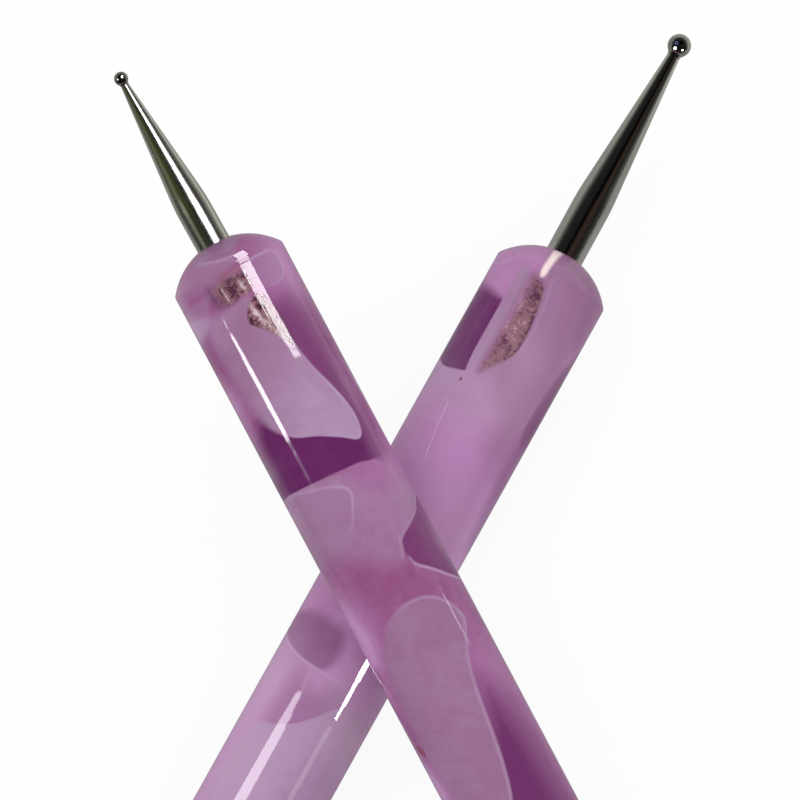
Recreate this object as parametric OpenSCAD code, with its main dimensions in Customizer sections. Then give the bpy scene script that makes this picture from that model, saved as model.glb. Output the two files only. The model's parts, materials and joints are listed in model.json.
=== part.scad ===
// Two double-ended embossing styluses, one lying across the other.
// Each is a marbled acrylic rod with domed ends and a ball-tipped steel point glued into each end.
// Millimetres. +Z is up, and the pair lies on the plane z = 0, centred on the Z axis.

/* [Handle] */
// Length of the rod between the edges of its two domed ends
handle_len = 98; // [70:1:130]
// Diameter of the rod
handle_d = 9; // [7:0.1:12]
// Height of each domed end above its edge
dome_h = 2.33; // [1:0.01:3.2]
// Radius of the eased edge between dome and rod
edge_r = 0.35; // [0.15:0.05:0.8]

/* [Small point] */
// Diameter of the small ball
small_ball_d = 1.06; // [0.8:0.02:1.6]
// Diameter of the cone where it meets the small ball
small_neck_d = 0.6; // [0.4:0.02:0.76]
// Diameter of the shank behind the small cone
small_shank_d = 2.64; // [2.2:0.02:3.2]
// From the handle to the centre of the small ball
small_reach = 14.1; // [11:0.1:20]
// From the centre of the small ball to the end of its cone
small_cone_len = 10.6; // [7:0.1:10.8]

/* [Large point] */
// Diameter of the large ball
large_ball_d = 1.78; // [1.3:0.02:2.4]
// Diameter of the cone where it meets the large ball
large_neck_d = 0.96; // [0.6:0.02:1.24]
// Diameter of the shank behind the large cone
large_shank_d = 2.92; // [2.4:0.02:3.4]
// From the handle to the centre of the large ball
large_reach = 18.3; // [15:0.1:24]
// From the centre of the large ball to the end of its cone
large_cone_len = 13.5; // [9:0.1:14.6]

/* [Joint in the handle] */
// Length of the thinner root that sits in the handle
root_len = 14; // [8:0.5:24]
// Width of the shoulder between shank and root, which seats on the dome
shoulder_w = 0.16; // [0.12:0.02:0.3]
// Thickness of adhesive around the root
adhesive_t = 0.08; // [0.05:0.01:0.1]
// How far the adhesive stays below the mouth of the bore, so that none squeezes out under the shoulder
adhesive_recess = 0.6; // [0.2:0.1:2]
// Room for adhesive between the root and the end of the bore
adhesive_plug = 0.8; // [0.2:0.1:2]
// Angle of the drilled end of the bore
drill_angle = 118; // [90:1:140]
// Chamfer at the inner end of the root
root_chamfer = 0.3; // [0.1:0.05:0.6]
// Radius that blends the cone into the shank
shoulder_blend_r = 20; // [6:1:30]
// How far the bead of braze at a neck spreads along the cone, as a share of the neck's radius
bead_spread = 0.45; // [0.2:0.05:0.7]
// Clearance left between faces that are bonded
bond_gap = 0.01; // [0.005:0.005:0.02]

/* [Laying out the pair] */
// Turn of the front stylus to the left of +Y
front_lean = 28.2; // [15:0.1:40]
// Turn of the back stylus to the right of +Y
back_lean = 28.8; // [15:0.1:40]
// From the upper edge of the front handle to the crossing
front_cross = 24.5; // [15:0.1:40]
// From the upper edge of the back handle to the crossing
back_cross = 26; // [15:0.1:40]
// Gap between the two handles where they cross
rest_gap = 0.3; // [0.2:0.05:1]
// Small misalignment of the front stylus's upper point
front_cant = -1.2; // [-2:0.1:2]
// Small misalignment of the back stylus's upper point
back_cant = -0.5; // [-2:0.1:2]

/* [Hidden] */
$fn = 96;

acrylic = [0.66, 0.46, 0.66];
steel = [0.55, 0.55, 0.52];
dark_steel = [0.36, 0.37, 0.38];
braze_gold = [0.72, 0.62, 0.42];
resin = [0.72, 0.55, 0.55];

handle_r = handle_d / 2;
// The dome is a cap of a sphere through the edge of the rod
dome_r = (pow(handle_r, 2) + pow(dome_h, 2)) / (2 * dome_h);
// Centre of that sphere, from the edge's plane towards the tip
dome_c = dome_h - dome_r;
// Centre of the eased edge's arc, from the centre of the dome
ease_z = sqrt(pow(dome_r - edge_r, 2) - pow(handle_r - edge_r, 2));
// Where that arc runs into the dome
ease_x = (handle_r - edge_r) * dome_r / (dome_r - edge_r);

// A point is [ball diameter, neck diameter, shank diameter, reach, cone length]
small_point = [small_ball_d, small_neck_d, small_shank_d, small_reach, small_cone_len];
large_point = [large_ball_d, large_neck_d, large_shank_d, large_reach, large_cone_len];

function ball_r(p) = p[0] / 2;
function neck_r(p) = p[1] / 2;
function shank_r(p) = p[2] / 2;
function root_r(p) = shank_r(p) - shoulder_w;
function bore_r(p) = root_r(p) + adhesive_t;
// Places along a point's axis, from the centre of the dome
function seat_z(p) = sqrt(pow(dome_r, 2) - pow(shank_r(p), 2));
function ball_z(p) = seat_z(p) + p[3];
function neck_z(p) = ball_z(p) - sqrt(pow(ball_r(p), 2) - pow(neck_r(p), 2));
function cone_z(p) = ball_z(p) - p[4];
function root_z(p) = seat_z(p) - root_len;
function bore_z(p) = root_z(p) - adhesive_plug;
function drill_tip(r) = r / tan(drill_angle / 2);
// Half angle of the cone, and the length that the blend takes from cone and shank
function cone_angle(p) = atan((shank_r(p) - neck_r(p)) / (neck_z(p) - cone_z(p)));
function blend_len(p) = shoulder_blend_r * tan(cone_angle(p) / 2);

// The blend between shank and cone, as points on its arc
blend_steps = 6;
function blend_points(p) = [
    for (i = [0 : blend_steps])
        let (a = cone_angle(p) * i / blend_steps)
        [shank_r(p) - shoulder_blend_r * (1 - cos(a)), cone_z(p) - blend_len(p) + shoulder_blend_r * sin(a)]
];

// How much higher the front axis runs than the back one where they cross, so that the rods clear
crossing = front_lean + back_lean;
function axis_rise(raise) = (handle_d + rest_gap)
    * norm([sin(raise), cos(raise) * sin(crossing)]) / (cos(raise) * sin(crossing));
// The front stylus's far edge rests on the ground, which sets how far its upper end is raised
ease_inset = -dome_c - ease_z;
rest_arm = handle_len - front_cross + ease_inset;
settle_steps = 8;
function settled(raise, steps) = steps == 0 ? raise : settled(
    asin((handle_r + axis_rise(raise) - (handle_r - edge_r) * cos(raise) - edge_r) / rest_arm), steps - 1);
front_raise = settled(0, settle_steps);
front_axis_z = handle_r + axis_rise(front_raise);

// Where a place at x beside and z along an upright stylus goes when it is laid down
function laid(x, z, lean, raise) = [
    x * cos(lean) - z * cos(raise) * sin(lean),
    x * sin(lean) + z * cos(raise) * cos(lean)
];
function upper_ball(p, cross, cant, lean, raise) =
    laid(ball_z(p) * sin(cant), cross + dome_c + ball_z(p) * cos(cant), lean, raise);
function lower_ball(p, cross, lean, raise) =
    laid(0, cross - handle_len - dome_c - ball_z(p), lean, raise);
// The four balls are the outermost pieces, so they give the pair's middle
balls = [
    [upper_ball(small_point, front_cross, front_cant, front_lean, front_raise), ball_r(small_point)],
    [lower_ball(large_point, front_cross, front_lean, front_raise), ball_r(large_point)],
    [upper_ball(large_point, back_cross, back_cant, -back_lean, 0), ball_r(large_point)],
    [lower_ball(small_point, back_cross, -back_lean, 0), ball_r(small_point)]
];
function middle(axis) = (max([for (b = balls) b[0][axis] + b[1]]) + min([for (b = balls) b[0][axis] - b[1]])) / 2;

// The front stylus's place, from a frame with its crossing at the origin and its small end up +Z
module lay_front() {
    translate([-middle(0), -middle(1), front_axis_z])
        rotate([front_raise - 90, 0, front_lean])
            children();
}

// The back stylus's place, from a frame with its crossing at the origin and its large end up +Z
module lay_back() {
    translate([-middle(0), -middle(1), handle_r])
        rotate([-90, 0, -back_lean])
            children();
}

// The frame of a point at the upper end of a stylus: the dome's centre, with the tip up +Z
module upper_end(cross, cant) {
    translate([0, 0, cross + dome_c])
        rotate([0, cant, 0])
            children();
}

// The frame of a point at the lower end
module lower_end(cross) {
    translate([0, 0, cross - handle_len - dome_c])
        rotate([180, 0, 0])
            children();
}

// Half outline of a domed end, from the centre of the dome down to the middle of the rod
module end_outline() {
    intersection() {
        circle(dome_r);
        translate([0, ease_z])
            square([ease_x, dome_r]);
    }
    translate([handle_r - edge_r, ease_z])
        intersection() {
            circle(edge_r);
            square(edge_r);
        }
    translate([0, -dome_c - handle_len / 2])
        square([handle_r, ease_z + dome_c + handle_len / 2]);
}

// The rod with both domes, its upper edge a distance cross above the crossing
module rod(cross) {
    translate([0, 0, cross + dome_c])
        rotate_extrude()
            end_outline();
    translate([0, 0, cross - handle_len - dome_c])
        mirror([0, 0, 1])
            rotate_extrude()
                end_outline();
}

// What is cut from the handle for a point: a blind drilled bore and a flat seat as wide as the shank
module bore(p) {
    translate([0, 0, bore_z(p)])
        cylinder(r = bore_r(p), h = dome_r - bore_z(p));
    translate([0, 0, bore_z(p) - drill_tip(bore_r(p))])
        cylinder(r1 = 0, r2 = bore_r(p), h = drill_tip(bore_r(p)));
    translate([0, 0, seat_z(p)])
        cylinder(r = shank_r(p) + dome_h, h = dome_h);
}

module handle(cross, upper, cant, lower) {
    color(acrylic)
        difference() {
            rod(cross);
            upper_end(cross, cant)
                bore(upper);
            lower_end(cross)
                bore(lower);
        }
}

// Root, shoulder, shank, blend and cone in one turned piece, with a seat for the ball
module shank(p) {
    color(steel)
        difference() {
            rotate_extrude()
                polygon(concat(
                    [[0, root_z(p)], [root_r(p) - root_chamfer, root_z(p)], [root_r(p), root_z(p) + root_chamfer]],
                    [[root_r(p), seat_z(p)], [shank_r(p), seat_z(p)]],
                    blend_points(p),
                    [[neck_r(p), neck_z(p)], [0, neck_z(p)]]
                ));
            translate([0, 0, ball_z(p)])
                sphere(r = ball_r(p) + bond_gap);
        }
}

module ball(p) {
    color(dark_steel)
        translate([0, 0, ball_z(p)])
            sphere(r = ball_r(p));
}

// The bead of braze that fills the crevice between ball and cone
module braze(p) {
    spread = neck_r(p) * bead_spread;
    climb = asin(neck_r(p) / ball_r(p)) + asin(spread / ball_r(p));
    foot_r = neck_r(p) + spread * sin(cone_angle(p));
    color(braze_gold)
        difference() {
            rotate_extrude()
                polygon([
                    [neck_r(p) / 2, neck_z(p)],
                    [foot_r, neck_z(p) - spread * cos(cone_angle(p))],
                    [ball_r(p) * sin(climb), ball_z(p) - ball_r(p) * cos(climb)],
                    [neck_r(p) / 2, ball_z(p)]
                ]);
            translate([0, 0, ball_z(p)])
                sphere(r = ball_r(p) + bond_gap);
            translate([0, 0, neck_z(p) - 2 * spread])
                cylinder(
                    r1 = neck_r(p) + 2 * spread * tan(cone_angle(p)) + bond_gap,
                    r2 = neck_r(p) + bond_gap,
                    h = 2 * spread
                );
            translate([0, 0, neck_z(p)])
                cylinder(r = neck_r(p) + bond_gap, h = spread);
        }
}

// The sleeve and plug of set adhesive between the root and its bore, in one turned outline
module adhesive(p) {
    outer_r = bore_r(p) - bond_gap;
    inner_r = root_r(p) + bond_gap;
    color(resin)
        rotate_extrude()
            polygon([
                [0, bore_z(p) - drill_tip(outer_r)],
                [outer_r, bore_z(p)],
                [outer_r, seat_z(p) - adhesive_recess],
                [inner_r, seat_z(p) - adhesive_recess],
                [inner_r, root_z(p) - bond_gap],
                [0, root_z(p) - bond_gap]
            ]);
}

module front_handle() {
    lay_front()
        handle(front_cross, small_point, front_cant, large_point);
}

module back_handle() {
    lay_back()
        handle(back_cross, large_point, back_cant, small_point);
}

module on_front_small() {
    lay_front()
        upper_end(front_cross, front_cant)
            children();
}

module on_front_large() {
    lay_front()
        lower_end(front_cross)
            children();
}

module on_back_large() {
    lay_back()
        upper_end(back_cross, back_cant)
            children();
}

module on_back_small() {
    lay_back()
        lower_end(back_cross)
            children();
}

front_handle();
on_front_small() shank(small_point);  // front_small_shank
on_front_small() ball(small_point);  // front_small_ball
on_front_small() braze(small_point);  // front_small_braze
on_front_small() adhesive(small_point);  // front_small_adhesive
on_front_large() shank(large_point);  // front_large_shank
on_front_large() ball(large_point);  // front_large_ball
on_front_large() braze(large_point);  // front_large_braze
on_front_large() adhesive(large_point);  // front_large_adhesive
back_handle();
on_back_small() shank(small_point);  // back_small_shank
on_back_small() ball(small_point);  // back_small_ball
on_back_small() braze(small_point);  // back_small_braze
on_back_small() adhesive(small_point);  // back_small_adhesive
on_back_large() shank(large_point);  // back_large_shank
on_back_large() ball(large_point);  // back_large_ball
on_back_large() braze(large_point);  // back_large_braze
on_back_large() adhesive(large_point);  // back_large_adhesive
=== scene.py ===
import json
import math
import bpy
import mathutils
import numpy as np
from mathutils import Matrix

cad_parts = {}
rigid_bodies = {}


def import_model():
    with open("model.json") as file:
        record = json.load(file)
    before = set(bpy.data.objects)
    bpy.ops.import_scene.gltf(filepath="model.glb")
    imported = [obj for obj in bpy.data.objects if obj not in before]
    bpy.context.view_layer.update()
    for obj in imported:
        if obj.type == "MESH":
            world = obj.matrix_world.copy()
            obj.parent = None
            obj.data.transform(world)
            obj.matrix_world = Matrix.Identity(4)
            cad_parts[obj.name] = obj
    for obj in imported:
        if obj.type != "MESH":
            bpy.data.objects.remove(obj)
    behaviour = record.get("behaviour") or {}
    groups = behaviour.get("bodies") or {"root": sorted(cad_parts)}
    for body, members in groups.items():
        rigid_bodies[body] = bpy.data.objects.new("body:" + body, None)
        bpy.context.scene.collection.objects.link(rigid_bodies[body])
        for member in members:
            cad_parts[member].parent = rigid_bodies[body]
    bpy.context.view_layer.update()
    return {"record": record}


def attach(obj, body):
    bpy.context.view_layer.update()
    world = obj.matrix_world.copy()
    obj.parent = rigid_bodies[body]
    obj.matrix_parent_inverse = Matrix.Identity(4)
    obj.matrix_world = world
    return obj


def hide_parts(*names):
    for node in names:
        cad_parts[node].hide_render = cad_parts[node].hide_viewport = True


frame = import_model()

mounts = {mount["name"]: mount for mount in frame["record"]["mounts"]}
mm = 0.001  # metres in a millimetre

# Camera, in millimetres: it aims at the middle of the picture, and frameWidth is what the picture spans
# there. Clip is in metres.
view = {"aim": (0.31, 35.25, 0.0), "elevation": 80, "distance": 1500, "frameWidth": 60, "sensor": 36,
        "clip": (0.05, 20)}


def addCamera():
    tilt = math.radians(90 - view["elevation"])
    camera = bpy.data.objects.new("camera", bpy.data.cameras.new("camera"))
    camera.data.sensor_width = view["sensor"]
    camera.data.lens = view["sensor"] * view["distance"] / view["frameWidth"]
    camera.data.clip_start, camera.data.clip_end = view["clip"]
    away = np.array([0, -math.sin(tilt), math.cos(tilt)])
    camera.location = (np.array(view["aim"]) + away * view["distance"]) * mm
    camera.rotation_euler = (tilt, 0, 0)
    bpy.context.scene.collection.objects.link(camera)
    bpy.context.scene.camera = camera
    return away, np.array(camera.location)


toCamera, cameraPlace = addCamera()
print("camera set")


class Wire:
    # An output socket of a node. Sums, differences, products and quotients of wires add Math nodes.
    def __init__(self, tree, socket=None):
        self.tree = tree
        self.socket = socket

    # Any node: its type, its settings, then the values or wires of its sockets
    def node(self, kind, settings=None, sockets=None, out=0):
        made = self.tree.nodes.new(kind)
        for name, value in (settings or {}).items():
            setattr(made, name, value)
        for name, value in (sockets or {}).items():
            if isinstance(value, Wire):
                self.tree.links.new(value.socket, made.inputs[name])
            else:
                made.inputs[name].default_value = value
        return Wire(self.tree, made.outputs[out] if made.outputs else None)

    def math(self, operation, *values):
        return self.node("ShaderNodeMath", {"operation": operation}, dict(enumerate(values)))

    def __add__(self, other):
        return self.math("ADD", self, other)

    def __radd__(self, other):
        return self.math("ADD", other, self)

    def __sub__(self, other):
        return self.math("SUBTRACT", self, other)

    def __mul__(self, other):
        return self.math("MULTIPLY", self, other)

    def __rmul__(self, other):
        return self.math("MULTIPLY", other, self)

    def __truediv__(self, other):
        return self.math("DIVIDE", self, other)

    # From 0 at low to 1 at high, eased at both ends
    def ease(self, low, high):
        return self.node(
            "ShaderNodeMapRange", {"interpolation_type": "SMOOTHSTEP"},
            {"Value": self, "From Min": low, "From Max": high})

    # A bell of height 1 at centre, falling off over width
    def bell(self, centre, width):
        off = (self - centre) / width
        return self.math("EXPONENT", -1 * (off * off))

    def limit(self):
        return self.node("ShaderNodeClamp", {}, {"Value": self})

    def attribute(self, name):
        return self.node("ShaderNodeAttribute", {"attribute_name": name}, out=2)

    def objectPoint(self):
        return self.node("ShaderNodeTexCoord", out=3)

    def noise(self, scale, detail=2.0, roughness=0.5, distortion=0.0, vector=None):
        return self.node("ShaderNodeTexNoise", {}, {
            "Scale": scale, "Detail": detail, "Roughness": roughness, "Distortion": distortion,
            "Vector": vector or self.objectPoint()})

    def mixColour(self, factor, low, high):
        return self.node("ShaderNodeMix", {"data_type": "RGBA"}, {0: factor, 6: low, 7: high}, out=2)

    def mixShader(self, factor, low, high):
        return self.node("ShaderNodeMixShader", {}, {0: factor, 1: low, 2: high})

    def bump(self, height, depth):
        return self.node("ShaderNodeBump", {}, {"Height": height, "Distance": depth, "Strength": 1.0})


# A colour written as 0 to 255 in sRGB, as the linear light that a socket takes
def tint(red, green, blue):
    scaled = np.array([red, green, blue]) / 255
    linear = np.where(scaled <= 0.04045, scaled / 12.92, ((scaled + 0.055) / 1.055) ** 2.4)
    return (*linear.tolist(), 1.0)


def newMaterial(name):
    material = bpy.data.materials.new(name)
    material.use_nodes = True
    material.node_tree.nodes.clear()
    return material, Wire(material.node_tree)


def finishMaterial(wire, shader):
    wire.node("ShaderNodeOutputMaterial", {}, {"Surface": shader})


# A turned piece's place: where its height 0 is, and its axis, with right and front square to it.
# Front turns towards the camera, and right is to the right with the axis pointing up the picture.
def placeAt(origin, axis):
    axis = np.array(axis, float)
    axis /= np.linalg.norm(axis)
    front = toCamera - (toCamera @ axis) * axis
    front /= np.linalg.norm(front)
    return {"origin": np.array(origin, float), "axis": axis, "front": front, "right": np.cross(axis, front)}


# ring(i, j) = origin + axis h(i) + r(i) (right sin t(j) + front cos t(j)), in metres
def ringsAt(place, height, radius, turn):
    height, radius = np.array(height, float) * mm, np.array(radius, float) * mm
    spoke = np.sin(turn)[:, None] * place["right"] + np.cos(turn)[:, None] * place["front"]
    return (place["origin"] + height[:, None, None] * place["axis"]
            + radius[:, None, None] * spoke[None])


def turnsOf(columns):
    return np.arange(columns) / columns * 2 * np.pi


def newObject(name, corners, faces):
    mesh = bpy.data.meshes.new(name)
    mesh.from_pydata(np.asarray(corners).tolist(), [], faces)
    made = bpy.data.objects.new(name, mesh)
    bpy.context.scene.collection.objects.link(made)
    return made


def smoothFaces(mesh, sharpFrom):
    mesh.polygons.foreach_set("use_smooth", np.ones(len(mesh.polygons), bool))
    mesh.set_sharp_from_angle(angle=math.radians(sharpFrom))


# Faces that join each ring to the next all round, and the last ring to the first where the rings are closed
def ringFaces(rows, columns, closed=False):
    index = np.arange(rows * columns).reshape(rows, columns)
    below = np.roll(index, -1, 0)
    quads = np.stack([index, below, np.roll(below, -1, 1), np.roll(index, -1, 1)], -1)
    return index, (quads if closed else quads[:-1]).reshape(-1, 4).tolist()


# A closed turned mesh, with a pole before the first ring and one after the last, each joined as a fan
def meshFromRings(name, rings, firstPole, lastPole):
    rows, columns = rings.shape[:2]
    index, faces = ringFaces(rows, columns)
    first, last = index[0], index[-1]
    for pole, start, end in ((0, first, np.roll(first, -1)), (1, np.roll(last, -1), last)):
        faces += np.stack([np.full(columns, rows * columns + pole), start, end], -1).tolist()
    made = newObject(name, np.concatenate([rings.reshape(-1, 3), [firstPole], [lastPole]]), faces)
    smoothFaces(made.data, sharpFrom=32)
    return made


def setAttribute(made, name, values):
    layer = made.data.attributes.new(name, "FLOAT", "POINT")
    layer.data.foreach_set("value", np.ascontiguousarray(values, np.float32).ravel())


# Points, in millimetres. Reach is from the shoulder to the middle of the ball, and cone from there back to
# the shank. The spots of (height, around, reach, amount) that follow paint highlights on the adhesive, and
# painted shade where the amount is negative.
points = {
    "small": {
        "ball": 1.06, "neck": 0.6, "shank": 2.64, "reach": 14.1, "cone": 10.6,
        "shine": [(-3.8, 14, 0.45, 1.1), (-3.2, -41, 0.35, 0.8), (-3.7, -40, 0.3, 0.6),
                  (-4.2, -38, 0.32, 0.65), (-3.7, -15, 0.9, -0.45), (-3.8, -64, 0.7, -0.05),
                  (-5.9, 8, 0.5, 0.9), (-6.5, 16, 0.45, 0.8), (-7.2, 26, 0.45, 0.8), (-8.2, 36, 0.5, 0.7),
                  (-9, 44, 0.6, 0.6), (-5.6, -12, 0.8, -0.6), (-7.1, 2, 0.5, -0.5), (-5.2, 24, 0.6, -0.45)]},
    "large": {
        "ball": 1.78, "neck": 0.96, "shank": 2.92, "reach": 18.3, "cone": 13.5,
        "shine": [(-8.0, -26, 2.6, 0.08), (-5.8, -4, 0.8, 0.12), (-4.0, -14, 1.2, -0.22),
                  (-7.6, 14, 0.8, -0.5), (-6, 11, 0.7, -0.4), (-9.6, 4, 0.9, -0.4), (-3.2, 4, 0.8, -0.2),
                  (-6, -44, 1.2, 0.15)]},
}
# Painted light that lies evenly over all the adhesive, under its spots
paintedLightRest = 0.2
joint = {"root": 14, "shoulder": 0.16, "adhesive": 0.08, "recess": 0.6, "plug": 0.8,
         "drill": 118, "chamfer": 0.3, "blend": 20, "bead": 0.45, "hollow": 0.02, "beadEdge": 0.004,
         "gap": 0.01}
# Seat is how far the flat seat reaches past the shank, boreRows are rows between the bore's ends, and no row
# of the rod comes nearer to its lower edge than clear.
handle = {"length": 98, "diameter": 9, "dome": 2.33, "edge": 0.35, "seat": 0.25, "boreRows": (-10, -5),
          "columns": 160, "shownLength": 50, "shownStep": 0.165, "hiddenStep": 0.3, "clear": 0.1}


# The sizes that follow for a point, as radii and heights above the shoulder
def pointSizes(kind):
    size = points[kind]
    ball, neck, shank = size["ball"] / 2, size["neck"] / 2, size["shank"] / 2
    neckHeight = size["reach"] - math.sqrt(ball ** 2 - neck ** 2)
    coneHeight = size["reach"] - size["cone"]
    root = shank - joint["shoulder"]
    bore = root + joint["adhesive"]
    return {"ball": ball, "neck": neck, "shank": shank, "reach": size["reach"], "neckHeight": neckHeight,
            "coneHeight": coneHeight, "slope": math.atan((shank - neck) / (neckHeight - coneHeight)),
            "root": root, "bore": bore, "boreEnd": -joint["root"] - joint["plug"],
            "drillTip": bore / math.tan(math.radians(joint["drill"] / 2))}


# The dome is a cap of a sphere through the edge of the rod
rodRadius = handle["diameter"] / 2
domeRadius = (rodRadius ** 2 + handle["dome"] ** 2) / (2 * handle["dome"])
domeCentre = handle["dome"] - domeRadius
easeHeight = math.sqrt((domeRadius - handle["edge"]) ** 2 - (rodRadius - handle["edge"]) ** 2)
edgeTurn = math.asin((rodRadius - handle["edge"]) / (domeRadius - handle["edge"]))  # where cap and edge meet
edgeEnd = -domeCentre - easeHeight  # along, where the eased edge ends and the rod starts


# Heights and radii of one domed end from the shank outwards and down to the rod: r = R sin a, h = c + R cos a
# on the cap, then the same with a small R for the eased edge.
def domeRows(shank, rows=22, edgeRows=6):
    start = math.asin((shank + handle["seat"]) / domeRadius)
    cap = np.linspace(start, edgeTurn, rows)
    edge = np.linspace(edgeTurn, np.pi / 2, edgeRows + 1)[1:]
    height = np.concatenate([domeCentre + domeRadius * np.cos(cap),
                             domeCentre + easeHeight + handle["edge"] * np.cos(edge)])
    radius = np.concatenate([domeRadius * np.sin(cap),
                             rodRadius - handle["edge"] + handle["edge"] * np.sin(edge)])
    return height, radius


# Height and radius at a place along the handle, and how far its normal is turned from the axis there
def profileAt(along):
    arc = edgeEnd - along
    edgeArc = handle["edge"] * (math.pi / 2 - edgeTurn)
    if arc <= 0:
        return -along, rodRadius, math.pi / 2
    if arc < edgeArc:
        turned, radius = math.pi / 2 - arc / handle["edge"], handle["edge"]
        centre, out = -edgeEnd, rodRadius - radius
    else:
        turned, radius = edgeTurn - (arc - edgeArc) / domeRadius, domeRadius
        centre, out = domeCentre, 0
    return centre + radius * math.cos(turned), out + radius * math.sin(turned), turned


# Waves left by polishing: the height is a sum of sines, each with its own direction, length and phase.
# Steepness is the slope of one wave in degrees, and length is from and to, in millimetres.
waves = {"seed": 3, "count": 18, "length": (0.5, 1.4), "steepness": 0.035}


def polishWaves(along, turn):
    draws = np.random.default_rng(waves["seed"])
    across = turn * rodRadius
    height = np.zeros((len(along), len(turn)))
    for wave in range(waves["count"]):
        length = draws.uniform(*waves["length"])
        heading, phase = draws.uniform(0, np.pi), draws.uniform(0, 2 * np.pi)
        turns = round(2 * np.pi * rodRadius * math.cos(heading) / length)  # whole waves round the rod
        around = turns / rodRadius * across
        height += (math.radians(waves["steepness"]) * length / (2 * np.pi)
                   * np.sin(along[:, None] * 2 * np.pi * math.sin(heading) / length + around + phase))
    return height


# A rod with a dome and a blind bore at each end. The rows run from the end of the upper bore, out over the
# upper dome, down the rod and in again, so the surface is closed. Along counts millimetres down from the
# upper edge, and is negative on the upper dome, where it follows the arc.
def handleRings(place, upperPlace, upper, lower):
    turn = turnsOf(handle["columns"])
    length = handle["length"]
    upperHeight, upperRadius = domeRows(upper["shank"])
    lowerHeight, lowerRadius = domeRows(lower["shank"])
    seatHeight = domeCentre + math.sqrt(domeRadius ** 2 - lower["shank"] ** 2)
    top = upperHeight[-1]
    shown = np.arange(top - handle["shownStep"], -handle["shownLength"], -handle["shownStep"])
    hiddenEnd = -length - lowerHeight[-1] + handle["clear"]
    hidden = np.arange(-handle["shownLength"], hiddenEnd, -handle["hiddenStep"])
    rodHeight = np.concatenate([shown, hidden])
    outer = np.concatenate([upperHeight, rodHeight, -length - lowerHeight[::-1]])
    outerRadius = np.concatenate([upperRadius, np.full(len(rodHeight), rodRadius), lowerRadius[::-1]])
    step = np.hypot(np.diff(outer), np.diff(outerRadius))
    along = np.concatenate([[0], np.cumsum(step)])
    along -= along[len(upperHeight) - 1] + top
    boreHeight = np.array([upper["boreEnd"], *handle["boreRows"], 0, 0])
    boreRadius = np.array([upper["bore"]] * (len(boreHeight) - 1) + [upper["shank"]])
    lowerBoreHeight = -length - seatHeight - np.array([0, 0, *handle["boreRows"][::-1], lower["boreEnd"]])
    lowerBoreRadius = np.array([lower["shank"]] + [lower["bore"]] * (len(lowerBoreHeight) - 1))
    spoke = np.sin(turn)[:, None] * place["right"] + np.cos(turn)[:, None] * place["front"]
    polished = ringsAt(place, outer, outerRadius, turn) + polishWaves(along, turn)[:, :, None] * spoke * mm
    rings = np.concatenate([ringsAt(upperPlace, boreHeight, boreRadius, turn), polished,
                            ringsAt(place, lowerBoreHeight, lowerBoreRadius, turn)])
    firstPole = upperPlace["origin"] + upperPlace["axis"] * (upper["boreEnd"] - upper["drillTip"]) * mm
    lastHeight = -length - seatHeight - lower["boreEnd"] + lower["drillTip"]
    lastPole = place["origin"] + place["axis"] * lastHeight * mm
    bores = len(boreHeight), len(lowerBoreHeight)
    return rings, firstPole, lastPole, along, turn, bores


# A closed smooth curve through the points, by Catmull and Rom:
# p(t) = (2 b + (c - a) t + (2 a - 5 b + 4 c - d) t^2 + (3 b - a - 3 c + d) t^3) / 2
def smoothLoop(loop, steps=7):
    a, b, c, d = (np.roll(loop, shift, 0)[:, None] for shift in (1, 0, -1, -2))
    t = (np.arange(steps) / steps)[None, :, None]
    curve = 2 * b + (c - a) * t + (2 * a - 5 * b + 4 * c - d) * t ** 2 + (3 * b - a - 3 * c + d) * t ** 3
    return (curve / 2).reshape(-1, loop.shape[1])


mmPerDegree = math.radians(1) * rodRadius
crisp = 0.07  # softness in millimetres of an edge that looks sharp
margin = 3.0  # how far from a loop its field still counts, in millimetres
blend = 0.45  # over how many millimetres overlapping shapes pass into each other
farOff = 9.0  # where a field's edge value stops, well clear of every loop
tiny = 1e-9  # keeps a division from 0


# How far across the rod a place is from another, both in degrees, the short way round
def acrossFrom(around, middle):
    return ((around - middle + 180) % 360 - 180) * mmPerDegree


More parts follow.
